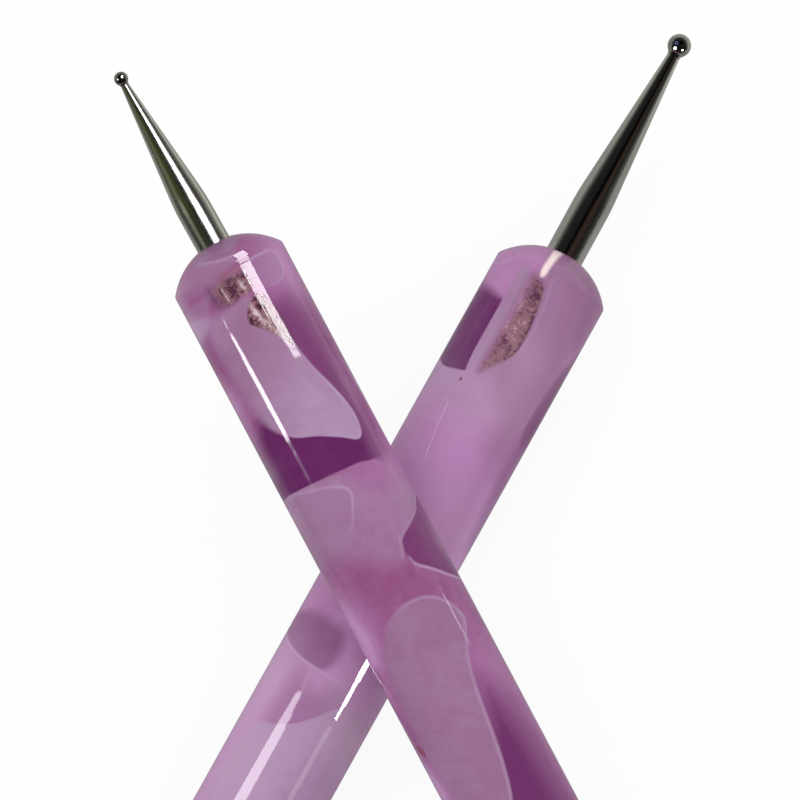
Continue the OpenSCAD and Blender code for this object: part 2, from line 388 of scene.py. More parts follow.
# The field of a set of shapes over the rod: edge is the signed distance from the nearest loop over its
# softness there, and depth the distance itself, positive inside. Rim is that loop's own, and density and tone
# are means of all the shapes there, each weighed by e to the power depth / blend.
# A shape's loop is (along, around[, softness[, rim]]) in millimetres and degrees.
def fieldOf(shapes, along, around):
    count = len(along)
    field = {"edge": np.full(count, -farOff), "depth": np.full(count, -margin),
             "dense": np.zeros(count), "rim": np.zeros(count), "tone": np.zeros(count)}
    weights = np.full(count, tiny)
    for shape in shapes:
        plain = (0, 0, shape.get("soft", crisp), shape.get("rim", 0))
        loop = smoothLoop(np.array([tuple(point) + plain[len(point):] for point in shape["loop"]], float))
        middle = (loop[:, 1].min() + loop[:, 1].max()) / 2
        loop[:, 1] = (loop[:, 1] - middle) * mmPerDegree
        across = acrossFrom(around, middle)
        near = np.flatnonzero((along > loop[:, 0].min() - margin) & (along < loop[:, 0].max() + margin)
                              & (across > loop[:, 1].min() - margin) & (across < loop[:, 1].max() + margin))
        x, y = along[near], across[near]
        best = np.full(len(near), margin ** 2)
        inside = np.zeros(len(near), bool)
        soft, rim = np.full(len(near), plain[2]), np.zeros(len(near))
        for start, end in zip(loop, np.roll(loop, -1, 0)):
            dx, dy = end[0] - start[0], end[1] - start[1]
            share = np.clip(((x - start[0]) * dx + (y - start[1]) * dy) / (dx * dx + dy * dy + tiny), 0, 1)
            away = (x - start[0] - share * dx) ** 2 + (y - start[1] - share * dy) ** 2
            closer = away < best
            best = np.where(closer, away, best)
            soft = np.where(closer, start[2] + share * (end[2] - start[2]), soft)
            rim = np.where(closer, start[3] + share * (end[3] - start[3]), rim)
            if dy:
                inside ^= ((start[1] > y) != (end[1] > y)) & (x < start[0] + (y - start[1]) * dx / dy)
        depth = np.sqrt(best) * np.where(inside, 1, -1)
        edge = np.clip(depth / np.maximum(soft, crisp), -farOff, farOff)
        wins = edge > field["edge"][near]
        for name, value in (("edge", edge), ("depth", depth), ("rim", rim)):
            field[name][near[wins]] = value[wins]
        weight = np.exp(depth / blend)
        weights[near] += weight
        field["dense"][near] += weight * shape.get("dense", 1.0)
        field["tone"][near] += weight * shape.get("tone", 0.0)
    field["dense"] /= weights
    field["tone"] /= weights
    return field


# A smooth level over the rod: a resting level plus a bell at each spot of (along, around, reach, amount)
def levelOf(rest, spots, along, around):
    level = np.full(len(along), float(rest))
    for spotAlong, spotAround, reach, amount in spots:
        across = acrossFrom(around, spotAround)
        level += amount * np.exp(-((along - spotAlong) ** 2 + across ** 2) / reach ** 2)
    return level


# Drifts where the pattern is free. Ranges are where they lie, along and around, and kinds say how many there
# are of each, with density and rim. Length and width are half a drift's, in millimetres and degrees.
drifts = {
    "ranges": [((2, 50), (160, 200)), ((62, 94), (-180, 180)), ((56, 96), (-180, 180))],
    "kinds": {"dark": (6, 0.9, 0), "milk": (5, 0.9, 0.6), "lobe": (2, 0.35, 0.9)},
    "length": (2.5, 6.0), "width": (20, 46), "lean": (-0.6, 0.6), "points": 9, "uneven": 0.28,
    "softness": (0.12, 1.32), "rimBelow": 0.5, "thinning": (0.7, 1.0)}


# Rounded drops drawn out along the rod, each crisp on one side and soft on the other. A drift's loop is
# along = a + l r cos t + lean w r sin t, around = b + w r sin t, with an uneven r.
def driftShapes(draws, count, alongRange, aroundRange, dense, rim):
    shapes = []
    crispest, softest = drifts["softness"]
    for number in range(count):
        middleAlong = alongRange[0] + (number + draws.random()) / count * (alongRange[1] - alongRange[0])
        middleAround = draws.uniform(*aroundRange)
        length, width = draws.uniform(*drifts["length"]), draws.uniform(*drifts["width"])
        lean = draws.uniform(*drifts["lean"])
        angle = turnsOf(drifts["points"])
        reach = 1 + draws.uniform(-drifts["uneven"], drifts["uneven"], drifts["points"])
        offAlong, offAround = length * reach * np.cos(angle), width * reach * np.sin(angle)
        side = 0.5 + 0.5 * np.cos(angle - draws.uniform(0, 2 * np.pi))
        soft = crispest + (softest - crispest) * side ** 2
        loop = np.stack([middleAlong + offAlong + lean * offAround * mmPerDegree, middleAround + offAround,
                         soft, np.where(soft < drifts["rimBelow"], rim, 0)], -1)
        shapes.append({"dense": dense * draws.uniform(*drifts["thinning"]), "loop": loop.tolist()})
    return shapes


# Marbling of the front handle. Loops are (along, around[, softness[, rim]]), in millimetres from the upper
# edge and degrees from the side that faces the camera. A shape's soft and rim are for points that give none.
# Glow, bloom and haze are spots of (along, around, reach, amount). Glow and haze spots from 60 to 86
# degrees either way, at the rod's sides, paint the light that the acrylic scatters at its edges.
frontMarbling = {
    "seed": 5, "glowRest": 0.16, "bloomRest": 0.35,
    "dark": [
        {"dense": 0.97, "loop": [(13.6, -125, 1.6), (13, -80, 1.7), (12, -60, 1.3), (11.2, -48, 0.8),
            (11, -20), (12, 10), (13, 30), (14.6, 43, 0.6), (17.35, 43, 0.1), (17.25, 20, 0.08),
            (17.1, -30, 0.08), (17.15, -90, 0.1), (17.3, -125, 1.2)]},
        {"dense": 0.6, "loop": [(3.9, 24, 0.9), (3.9, 42, 1.4), (5.2, 56, 2), (9, 60, 2.2), (13, 62, 2.2),
            (17.35, 60, 1.2), (17.35, 40, 0.1), (14.6, 42), (11, 34), (8, 23), (6, 21, 0.3)]},
        {"dense": 0.62, "loop": [(20.6, 84, 0.8), (21.9, 60), (22.8, 40), (23.4, 27), (24.8, 22),
            (25.85, 28), (26.55, 40), (27.65, 60), (28.3, 82, 0.3), (28.5, 120, 1), (25, 140, 1.5),
            (21, 120, 1)]},
        {"dense": 0.84, "loop": [(36.5, 34, 2.4), (39, 14, 1.5), (43, 4), (50, -32), (60, -50, 1.5),
            (60, 0, 1.5), (55, 42, 2.2), (48, 58, 2.6), (41, 54, 2.8)]},
    ],
    "milk": [
        {"dense": 0.8, "tone": -0.3, "soft": 0.6, "loop": [(-3.6, -60), (-2, -48), (-1, -30, 0.4),
            (-1.2, 0, 0.4), (-1.6, 20, 0.5), (-3.6, 40), (-4.4, 0)]},
        {"dense": 0.75, "tone": -0.35, "soft": 0.4, "loop": [(-1.2, -45, 0.5), (-0.9, -10, 0.5), (-0.9, 12),
            (-0.1, 10), (0.5, 0), (0.7, -20), (0.6, -40, 0.5), (0, -55, 0.6)]},
        {"dense": 0.8, "tone": 0.3, "soft": 0.6, "loop": [(2.4, -120), (2.2, -62, 0.4), (2.6, -38, 0.5),
            (3.5, -46), (3.8, -80), (3.9, -120, 0.8)]},
        {"dense": 0.92, "loop": [(3.2, -48, 0.9), (2.7, -24, 0.5), (2.6, 0, 0.4), (3.1, 14), (5, 21),
            (7.2, 24), (8.2, 26, 0.1, 0.3), (9.6, 30.5, 0.08, 0.6), (11.2, 38, 0.08, 0.8),
            (12.6, 44, 0.08, 0.7), (14, 47, 0.08, 0.6), (15.3, 43.5, 0.08, 0.5), (15.7, 35, 0.08, 0.4),
            (15, 20, 0.08, 0.3), (14.1, 0, 0.08, 0.2), (13.4, -20, 0.1, 0.2), (12.1, -37, 0.3),
            (10.3, -45, 0.8), (6.6, -51, 0.9)]},
        {"dense": 0.68, "soft": 1, "loop": [(17.3, -150), (17.15, -88, 0.1, 0.3), (17, -55, 0.08, 0.3),
            (17.1, -20, 0.1), (17.5, 2, 0.5), (19.2, 16, 1.3), (19.9, 40, 1.3), (19.9, 88, 1.3), (20, 150),
            (20.8, 145), (21.2, 84, 0.1, 0.3), (22.4, 60, 0.08, 0.5), (23.2, 40, 0.08, 0.5),
            (23.8, 27, 0.08, 0.5), (24.6, 23, 0.1, 0.5), (25.3, 18, 0.8), (24.6, 0, 1.4), (23.3, -30, 1.2),
            (22.8, -60), (22.8, -90), (22.6, -150, 1.2)]},
        {"dense": 0.85, "tone": -0.25, "soft": 0.08, "rim": 0.7, "loop": [(28.15, -6, 0.1, 0.3),
            (28.1, 12, 0.08, 0.6), (28.4, 25), (28.95, 35), (29.7, 43), (31, 49.5, 0.08, 0.8), (32.5, 40),
            (34, 30.5, 0.08, 0.6), (36, 24, 0.08, 0.6), (38, 20), (40, 16.5), (42, 12), (44.4, 4),
            (46.5, -10, 0.08, 0.6), (48.6, -26, 0.08, 0.5), (52, -46, 0.3, 0), (56, -66, 1.4, 0),
            (50, -64, 1.2, 0), (43.6, -58, 0.7, 0), (38, -60, 0.8, 0), (33.6, -55, 0.6, 0),
            (31.4, -48, 0.6, 0), (30, -38, 0.4, 0), (28.8, -24, 0.25, 0)]},
    ],
    "lobe": [
        {"dense": 0.45, "tone": 0.3, "soft": 0.3, "loop": [(0.2, 14, 0.1, 0.8), (0.1, 34, 0.08, 0.9),
            (0.2, 50, 0.08, 0.9), (1.2, 58, 0.08, 0.8), (2.4, 50, 0.15, 0.6), (2.7, 30, 0.3, 0.2),
            (1.6, 16, 0.5), (1.2, -10), (1.6, -30, 0.25), (2.3, -44), (1.9, -70, 0.4), (1.4, -60),
            (1.25, -40, 0.3, 0.1), (0.8, -20, 0.25, 0.15), (0.4, 0, 0.15, 0.3)]},
        {"dense": 0.8, "tone": -0.5, "soft": 0.6, "loop": [(-4.2, -75), (-4.2, 60), (-2.8, 44, 0.5),
            (-2, 20, 0.4), (-2.1, -8, 0.35), (-2.3, -34, 0.4), (-3, -60)]},
        {"dense": 0.7, "tone": -1, "soft": 0.15, "loop": [(-2, -30, 0.25), (-1.95, -10, 0.25),
            (-1.75, 5, 0.2), (-1.35, 17), (-1.15, 15), (-1.1, 0, 0.12), (-1.4, -15, 0.12), (-1.8, -29)]},
        {"dense": 0.5, "tone": 0.7, "soft": 0.4, "loop": [(-1.95, -31, 0.2, 0.6), (-1.35, -14, 0.12, 0.8),
            (-1, 2, 0.12, 0.8), (-0.9, 14, 0.15, 0.6), (-0.35, 12), (-0.5, 0), (-1, -16),
            (-1.6, -32, 0.35)]},
        {"dense": 0.3, "tone": 0.1, "loop": [(17.3, -70, 0.1, 0.3), (17.4, -30, 0.1, 0.6),
            (18.1, -3, 0.1, 0.9), (19, 5, 0.1, 1), (20, 0, 0.12, 0.8), (21.3, -10, 0.3, 0.4),
            (22.2, -28, 0.8), (22.3, -60, 1)]},
        {"dense": 0.06, "tone": 0.3, "loop": [(24.9, 23.5, 0.08, 1.2), (25.85, 28.5, 0.08, 1.4),
            (26.55, 40, 0.08, 1.5), (27.65, 60, 0.08, 1.5), (28.3, 82, 0.1, 1.2), (29.2, 120, 0.5),
            (31, 110, 1.2), (29.8, 70, 1), (28.2, 44, 0.8), (26.9, 28, 0.5)]},
        {"dense": 0.25, "tone": -0.9, "loop": [(21.4, -104, 0.4), (21.7, -80, 0.2), (22.25, -67, 0.15),
            (22.8, -84, 0.2), (22.9, -104, 0.4)]},
    ],
    "clear": [
        {"dense": 0.9, "soft": 0.3, "loop": [(0.95, -25, 0.9), (0.75, -12), (0.7, 0, 0.25), (0.8, 12),
            (1.6, 14), (2.3, 10, 0.25), (2.45, -4, 0.25), (2.55, -16), (2, -25, 0.9)]},
        {"dense": 0.95, "loop": [(4.2, -6.5), (3.3, 0, 0.2), (2.8, 8, 0.3), (2.7, 14, 0.4), (3.3, 20, 0.5),
            (5, 22.5, 0.5), (6.6, 23.2, 0.4), (7.4, 22.5), (6.9, 17), (6.2, 12), (5.4, 5), (4.85, -2)]},
    ],
    "fleck": [
        {"dense": 0.45, "soft": 0.25, "loop": [(0.45, -15), (0.15, 0), (0.2, 12), (0.7, 12, 0.2),
            (0.65, 0, 0.2), (0.85, -15)]},
        {"dense": 0.85, "loop": [(37.75, -71, 0.1), (38, -65), (38.45, -60.5), (38.85, -62.5, 0.1),
            (38.75, -66), (38.55, -70, 0.15), (38.2, -74, 0.15)]},
    ],
    "glow": [(9, -78, 1.6, 0.6), (28, -74, 2.6, 0.95), (30.2, -70, 1.5, 0.7), (42, -77, 1.9, 1),
        (33.6, -76, 0.9, 0.4), (40, -84, 1.6, 0.5), (32, -78, 0.8, -0.3), (6, -66, 1.8, -0.16),
        (26, -20, 4.5, -0.16), (18.4, 40, 2.6, 0.25), (18.4, 78, 2.6, 0.2), (36, 66, 4, 0.25),
        (43, 76, 4, 0.15), (0.5, 74, 2.5, 0.6), (3, 50, 2.2, 0.3), (-1.5, 30, 2, -0.1), (38, -50, 3, -0.05),
        (12.4, -78, 1.6, 0.3)],
    "bloom": [(6, -35, 4.5, -0.3), (13.5, 25, 5.5, 0.65), (3, -70, 2.5, 0.9), (19, -60, 4, -0.2),
        (19.5, 45, 5, 0.1), (35, -10, 6, 0.05), (44, 0, 5, -0.1)],
    "haze": [(14.6, -80, 1.5, 0.3), (12, 84, 2, 0.25), (25, 86, 1.5, 0.3), (4, 70, 1.8, 0.1),
        (2.6, -76, 1.3, 0.55), (8.8, -80, 1.2, 0.12), (0, -78, 1.2, 0.4), (18.6, -84, 1.4, 0.35),
        (-0.2, -62, 1.2, 0.15)],
}

# Marbling of the back handle, written the same way, with painted edge light among its glow and haze spots
backMarbling = {
    "seed": 11, "glowRest": 0.7, "bloomRest": 0.45,
    "dark": [
        {"dense": 0.95, "loop": [(3.6, -130, 1), (2.7, -96, 0.8), (3.02, -62, 0.6), (3.42, -40, 0.4),
            (3.66, -34.2, 0.15), (5.76, -34.2), (7.96, -34.2), (9.67, -33), (9.84, -60), (9, -90, 0.1),
            (8.6, -130, 0.8)]},
        {"dense": 0.8, "loop": [(3.4, 92, 0.8), (5.4, 66, 0.5), (7.6, 57, 0.25), (9.6, 53.5, 0.12),
            (11.2, 53, 0.15), (12.6, 57, 0.8), (13.4, 68, 1.4), (12.6, 125, 2), (7, 125, 2)]},
        {"dense": 0.5, "loop": [(12, 58, 1.2), (17, 52, 1.6), (21, 72, 1.6), (19, 110, 2), (12, 110, 2)]},
        {"dense": 0.62, "loop": [(31.2, -14, 0.7), (30.8, -44, 0.8), (31.1, -72, 0.5), (31.8, -105, 0.5),
            (33.3, -72, 0.15), (34.3, -42, 0.12), (34.7, -16, 0.15), (34.3, -6, 0.4), (33, -2, 0.6),
            (31.8, -6, 0.7)]},
        {"dense": 0.42, "loop": [(35.5, -34, 1), (36.4, -8, 0.9), (35.4, 10, 0.8), (35.2, 26, 0.6),
            (36.4, 28, 0.3), (37, 18, 0.1), (38.3, 6, 0.08), (40.2, -12, 0.08), (40.9, -38, 0.8)]},
        {"dense": 0.3, "soft": 2, "loop": [(12.6, 30), (15.5, 46), (20.4, 50), (26.5, 46), (22.6, 30, 2.5),
            (16.6, 22, 2.5)]},
        {"dense": 0.4, "loop": [(43.4, 52, 1.4), (47.4, 58, 1.6), (52.5, 40, 2), (47.2, 70, 2)]},
    ],
    "milk": [
        {"dense": 0.85, "tone": -0.5, "soft": 2, "loop": [(-2.76, -20, 1.5), (-2.88, 40), (0.19, 74),
            (5.28, 66), (10.4, 52, 1.4), (14, 42), (11.7, 16, 2.2), (10.28, -6, 1.5), (8.95, -16, 0.3),
            (5.68, -2, 0.3), (0.67, -8, 0.6)]},
        {"dense": 0.7, "tone": 0.3, "loop": [(8.7, -120, 0.4), (9.17, -88, 0.08, 0.2),
            (9.84, -60, 0.08, 0.3), (9.66, -34, 0.08, 0.2), (9.53, -22, 0.1), (8.47, -8, 0.2),
            (9.18, 6, 1.2), (12.1, 14, 2), (13, -20, 2.2), (12.1, -60, 1.8), (11.5, -120, 1.2)]},
        {"dense": 0.95, "tone": 0.1, "loop": [(0.67, -33.6, 0.3), (3.16, -33.9, 0.1), (5.76, -34),
            (8.16, -33.9), (9.53, -32), (9.42, -25), (7.63, -21), (4.64, -20.5), (1.64, -20.5),
            (0.41, -26, 0.4)]},
        {"dense": 0.9, "tone": 0.25, "loop": [(40.4, -44, 0.3), (39.9, -26, 0.12), (39.2, -9), (38, 6),
            (36.7, 20), (36.2, 37, 0.1), (36.8, 53, 0.25), (39.8, 68, 1), (46.2, 72, 1.6), (56.3, 60, 2),
            (62.7, 10, 2), (58.4, -50, 2), (48.3, -62, 2), (42.9, -56, 1.2)]},
    ],
    "lobe": [
        {"dense": 0.18, "tone": 0.6, "loop": [(0.38, 0, 0.2, 0.3), (2.28, 3.5, 0.12, 0.4),
            (4.67, 7, 0.12, 0.4), (6.67, 6, 0.15, 0.3), (5.84, 20, 1), (2.61, 26, 1.2), (0.05, 18, 1)]},
        {"dense": 0.2, "tone": 0.5, "loop": [(31.9, -105, 0.3, 0.4), (33.3, -72, 0.12, 0.9),
            (34.3, -42, 0.1, 1), (34.7, -12, 0.1, 1), (34.9, 16, 0.12, 0.6), (35.8, 20, 0.8), (36, -20, 1),
            (34.8, -70, 0.8)]},
        {"dense": 0.2, "tone": -1, "soft": 0.8, "loop": [(-3.2, 5), (-1.5, 3, 0.7), (0.3, 8, 0.7),
            (1.5, 20), (0.8, 35), (-1.5, 40), (-3.2, 30)]},
        {"dense": 0.4, "tone": -1, "soft": 0.8, "loop": [(-1.5, 35), (1.5, 45), (4, 60, 0.9), (3, 85, 0.9),
            (-1, 85, 0.9), (-2.5, 60)]},
        {"dense": 0.2, "tone": 0.6, "loop": [(0.6, -100, 0.4), (1.13, -70, 0.2, 0.5), (0.72, -52, 0.2, 0.5),
            (-0.31, -44, 0.3, 0.3), (-1.37, -70, 0.8), (-0.6, -100, 0.8)]},
    ],
    "clear": [
        {"dense": 0.85, "loop": [(0.84, -19, 0.7), (0.87, -12, 0.5), (1.18, -5, 0.3), (1.88, -1), (3.68, 3),
            (5.68, 5, 0.1), (6.88, 3, 0.12), (7.98, -5, 0.2), (8.81, -14, 0.35), (9.14, -20, 0.5),
            (7.04, -20, 0.5), (4.84, -19, 0.6), (2.64, -18.5, 0.7)]},
    ],
    "fleck": [
        {"loop": [(10.2, -33), (10.22, -30.5), (10.45, -30.5), (10.47, -33)]},
        # A painted glint: a pale pink highlight painted on the upper dome beside the shank, running onto the
        # rod
        {"dense": 0.95, "tone": 1, "soft": 0.3, "loop": [(-3.1, -24), (-2.2, -19, 0.25), (-1, -15, 0.2),
            (0.5, -13, 0.12), (0.8, -10.5, 0.12), (0.4, -7.5, 0.15), (-1, -7.5, 0.2), (-2.2, -7),
            (-3.1, -7, 0.35), (-3.5, -16)]},
    ],
    "glow": [(36, -74, 4, 0.3), (43, -58, 5, 0.3), (13, -45, 4, 0.15), (17, 22, 4.5, 0.25),
        (20, -20, 5, 0.2), (20.5, 36, 3.5, 0.6), (15, 62, 3, -0.15), (33.5, 34, 3, 0.4),
        (31.8, 8, 2.2, 0.9), (9, 60, 3, -0.3)],
    "bloom": [(10, -40, 4, 0.25), (11, 0, 4, 0.1), (4, 45, 6, -0.25), (40, 0, 6, 0.35), (38, 60, 3, -0.1),
        (44, -40, 5, 0.3), (43, 45, 4, -0.3)],
    "haze": [(37, -82, 5, 0.35), (44, -60, 5, 0.25), (13, -80, 4, 0.2), (36.2, 28, 2.2, 0.35),
        (20.5, 34, 3, 0.25), (38.5, 58, 2.5, 0.5), (6.8, 19, 2.2, 0.3), (10.5, 24, 2.4, 0.25),
        (33.6, 30, 2, 0.2), (36, -60, 2.5, 0.15)],
}


# A clear patch over the lower root
lowerClear = [(90.2, -14), (89.6, 0), (90.4, 12), (93, 16), (96.2, 12), (96.6, 0), (96, -14), (93, -17)]


# What the pattern does where no loop is given: the far side, and the lower part of each rod
def addDrifts(marbling):
    draws = np.random.default_rng(marbling["seed"])
    for ranges in drifts["ranges"]:
        for kind, (count, dense, rim) in drifts["kinds"].items():
            marbling[kind] += driftShapes(draws, count, *ranges, dense, rim)
    marbling["clear"] += [{"loop": lowerClear}]


# The parts of each kind's field that the materials read
fieldParts = {
    "dark": ("edge", "dense"), "milk": ("edge", "depth", "dense", "rim", "tone"),
    "lobe": ("edge", "depth", "dense", "rim", "tone"), "clear": ("edge", "dense"),
    "fleck": ("edge", "dense", "tone")}


def addMarbling(made, marbling, along, turn, bores):
    around = np.degrees(turn)
    alongGrid, aroundGrid = (grid.ravel() for grid in np.meshgrid(along, around, indexing="ij"))
    addDrifts(marbling)
    columns = len(turn)
    before, after = bores[0] * columns, bores[1] * columns + 2
    values = {"glow": levelOf(marbling["glowRest"], marbling["glow"], alongGrid, aroundGrid),
              "bloom": levelOf(marbling["bloomRest"], marbling["bloom"], alongGrid, aroundGrid),
              "haze": levelOf(0, marbling["haze"], alongGrid, aroundGrid)}
    for kind, parts in fieldParts.items():
        field = fieldOf(marbling[kind], alongGrid, aroundGrid)
        for part in parts:
            values[kind + part.capitalize()] = field[part]
    for name, value in values.items():
        padded = np.concatenate([np.full(before, value[0]), value, np.full(after, value[-1])])
        setAttribute(made, name, padded)
    return values["clearEdge"].reshape(len(along), columns)


# Colours of the acrylic, its noises, and how much of cloud, mist and pearl stirs what is named in shares. A
# rim is a bell of a shape's depth, in millimetres, and coat is the polished surface. Glint is the colour of a
# painted highlight, and haze that of painted light at the rod's sides and of pale patches elsewhere.
acrylic = {
    "mauve": tint(144, 81, 128), "violet": tint(192, 140, 190), "deep": tint(100, 38, 94),
    "greyMilk": tint(152, 112, 144), "lavender": tint(178, 146, 180), "shadeLobe": tint(126, 84, 120),
    "rim": tint(198, 168, 204), "fleck": tint(138, 66, 74), "glint": tint(255, 232, 230),
    "haze": tint(196, 166, 192),
    "cloud": (420, 3.0, 0.55, 0.6), "mist": (1500, 2.0, 0.6), "pearl": (8000, 2.0, 0.6),
    "grain": (5200, 2.0, 0.6), "swirl": (900, 3.0, 0.5, 1.2),
    "glowShares": (0.45, 0.14, 0.22), "toneShares": (0.5, 0.25, 0.3),
    "darkShare": 0.25, "milkShare": 0.3, "fleckShare": 0.8,
    "milkRim": (0.16, 0.13), "lobeRim": (0.1, 0.11), "rimShare": 0.42,
    "roughness": 0.34, "rougher": 0.2, "bump": 0.000006, "ior": 1.49, "coatRoughness": 0.035}


# A level stirred by each noise, by its share
def stirred(level, noises, shares):
    for noise, share in zip(noises, shares):
        level = level + noise * share
    return level.limit()


# How much a kind of shape covers, where it is drawn in crisp or soft, and its density is stirred by a noise
def coverOf(wire, kind, noise, share):
    dense = wire.attribute(kind + "Dense") + noise * share
    return (wire.attribute(kind + "Edge").ease(-1, 1) * dense).limit()


# Colour of the marbled acrylic: a mauve body that glows violet, dark clear drifts over it, then milky
# drifts with pale rims, faint lobes within them, haze, and flecks. Glow and haze are partly painted light,
# paler at the rod's sides, and one fleck is a painted glint.
def acrylicColour(wire):
    noises = [wire.noise(*acrylic[name]) - 0.5 for name in ("cloud", "mist", "pearl")]
    cloud, mist, pearl = noises
    # Glow is partly painted light: its spots at the rod's sides pale the body there
    glow = stirred(wire.attribute("glow"), noises, acrylic["glowShares"])
    colour = wire.mixColour(glow, acrylic["mauve"], acrylic["violet"])
    colour = wire.mixColour(coverOf(wire, "dark", cloud, acrylic["darkShare"]), colour, acrylic["deep"])
    milkTone = stirred(wire.attribute("bloom") + wire.attribute("milkTone"), noises, acrylic["toneShares"])
    milk = wire.mixColour(milkTone, acrylic["greyMilk"], acrylic["lavender"])
    colour = wire.mixColour(coverOf(wire, "milk", cloud, acrylic["milkShare"]), colour, milk)
    lobeTone = (wire.attribute("lobeTone") * 0.5 + 0.5).limit()
    lobe = wire.mixColour(lobeTone, acrylic["shadeLobe"], acrylic["lavender"])
    lobeCover = wire.attribute("lobeEdge").ease(-1, 1) * wire.attribute("lobeDense")
    colour = wire.mixColour(lobeCover, colour, lobe)
    rim = (wire.attribute("milkDepth").bell(*acrylic["milkRim"]) * wire.attribute("milkRim")
           + wire.attribute("lobeDepth").bell(*acrylic["lobeRim"]) * wire.attribute("lobeRim"))
    colour = wire.mixColour((rim * acrylic["rimShare"]).limit(), colour, acrylic["rim"])
    # Haze is partly painted light at the rod's sides
    colour = wire.mixColour(wire.attribute("haze").limit(), colour, acrylic["haze"])
    # A fleck of tone 1 takes the glint colour, which is a painted highlight
    fleck = wire.mixColour(wire.attribute("fleckTone"), acrylic["fleck"], acrylic["glint"])
    return wire.mixColour(coverOf(wire, "fleck", pearl, acrylic["fleckShare"]), colour, fleck)


# Polished cast acrylic: pearl inside, clear gloss over it
def acrylicShader(wire):
    grain, swirl = wire.noise(*acrylic["grain"]), wire.noise(*acrylic["swirl"])
    return wire.node("ShaderNodeBsdfPrincipled", {}, {
        "Base Color": acrylicColour(wire), "Roughness": acrylic["roughness"] + swirl * acrylic["rougher"],
        "IOR": acrylic["ior"], "Metallic": 0.0, "Specular IOR Level": 0.0,
        "Coat Weight": 1.0, "Coat Roughness": acrylic["coatRoughness"], "Coat IOR": acrylic["ior"],
        "Normal": wire.bump(grain, acrylic["bump"])})


def acrylicMaterial():
    material, wire = newMaterial("marbled acrylic")
    finishMaterial(wire, acrylicShader(wire))
    return material


resin = {"colour": (0.93, 0.78, 0.88, 1), "shadow": (0.93, 0.8, 0.9, 1), "roughness": 0.03}


# The same acrylic where it is clear enough to see the root: milk and clear resin meet at the crisp edge.
# Lamps reach the root through it.
def clearMaterial():
    material, wire = newMaterial("clear acrylic")
    glass = wire.node("ShaderNodeBsdfPrincipled", {}, {
        "Base Color": resin["colour"], "Roughness": resin["roughness"], "IOR": acrylic["ior"],
        "Transmission Weight": 1.0})
    through = wire.node("ShaderNodeBsdfTransparent", {}, {"Color": resin["shadow"]})
    shadow = wire.node("ShaderNodeLightPath", out=1)
    clear = wire.mixShader(shadow, glass, through)
    mask = wire.attribute("clearEdge").ease(-1, 1) * wire.attribute("clearDense")
    finishMaterial(wire, wire.mixShader(mask, acrylicShader(wire), clear))
    return material


# The wall of a bore is wetted by the adhesive, so light passes it unbent
def boreMaterial():
    material, wire = newMaterial("bore wall")
    finishMaterial(wire, wire.node("ShaderNodeBsdfTransparent", {}, {"Color": (1, 1, 1, 1)}))
    return material


handleMaterials = [acrylicMaterial(), clearMaterial(), boreMaterial()]
marbledSlot, clearSlot, boreSlot = range(len(handleMaterials))
clearFrom = -4  # the clear field's edge value from which a face has the clear material


def addHandle(name, body, marbling, place, upperPlace, upper, lower):
    rings, firstPole, lastPole, along, turn, bores = handleRings(place, upperPlace, upper, lower)
    made = meshFromRings(name + "_marbled", rings, firstPole, lastPole)
    clear = addMarbling(made, marbling, along, turn, bores)
    for material in handleMaterials:
        made.data.materials.append(material)
    rows, columns = rings.shape[:2]
    clearRow = np.full((rows, columns), -farOff)
    clearRow[bores[0]:rows - bores[1]] = clear
    faceClear = np.maximum.reduce([clearRow[:-1], clearRow[1:], np.roll(clearRow, -1, 1)[:-1],
                                   np.roll(clearRow, -1, 1)[1:]])
    slot = np.where(faceClear > clearFrom, clearSlot, marbledSlot)
    slot[:bores[0] - 1] = boreSlot
    slot[rows - bores[1]:] = boreSlot
    slots = np.concatenate([slot.ravel(), np.full(2 * columns, boreSlot)]).astype(np.int32)
    made.data.polygons.foreach_set("material_index", slots)
    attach(made, body)
    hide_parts(name)
    print(made.name, len(made.data.polygons), "faces")


# Metals: the noise that stains each, its colour from dull to bright, its roughness and what the stain adds to
# that, and the depth of its marks in metres
metals = {
    "shank": {"name": "polished steel", "stain": (700, 3.0, 0.6), "dull": (0.66, 0.66, 0.62, 1),
              "bright": (0.82, 0.82, 0.77, 1), "roughness": (0.15, 0.1), "marks": 0.0000022},
    "ball": {"name": "polished steel ball", "stain": (2600, 3.0, 0.6), "dull": (0.36, 0.38, 0.36, 1),
             "bright": (0.48, 0.50, 0.48, 1), "roughness": (0.06, 0.06), "marks": 0.000002},
    "braze": {"name": "braze", "stain": (6000, 2.0, 0.6), "dull": (0.46, 0.43, 0.33, 1),
              "bright": (0.66, 0.62, 0.50, 1), "roughness": (0.22, 0.12), "marks": 0.000006},
}
turnings = {"noise": (1.0, 3.0, 0.7), "perMm": 9}
specks = {"noise": (3000, 2.0, 0.6), "from": (0.69, 0.76), "colour": (0.90, 0.88, 0.80, 1), "share": 0.5,
          "rougher": 0.3, "height": 0.4}


# Metal, with faint turning marks round it and fine specks if it is a shank
def metalMaterial(part):
    metal = metals[part]
    material, wire = newMaterial(metal["name"])
    stain = wire.noise(*metal["stain"])
    colour = wire.mixColour(stain, metal["dull"], metal["bright"])
    smooth, more = metal["roughness"]
    rough, marks = smooth + stain * more, stain
    if part == "shank":
        speck = wire.noise(*specks["noise"]).ease(*specks["from"])
        colour = wire.mixColour(speck * specks["share"], colour, specks["colour"])
        rough = rough + speck * specks["rougher"]
        along = wire.node("ShaderNodeCombineXYZ", {}, {"X": wire.attribute("along") * turnings["perMm"]})
        marks = wire.noise(*turnings["noise"], vector=along) + speck * specks["height"]
    finishMaterial(wire, wire.node("ShaderNodeBsdfPrincipled", {}, {
        "Base Color": colour, "Metallic": 1.0, "Roughness": rough,
        "Normal": wire.bump(marks, metal["marks"])}))
    return material


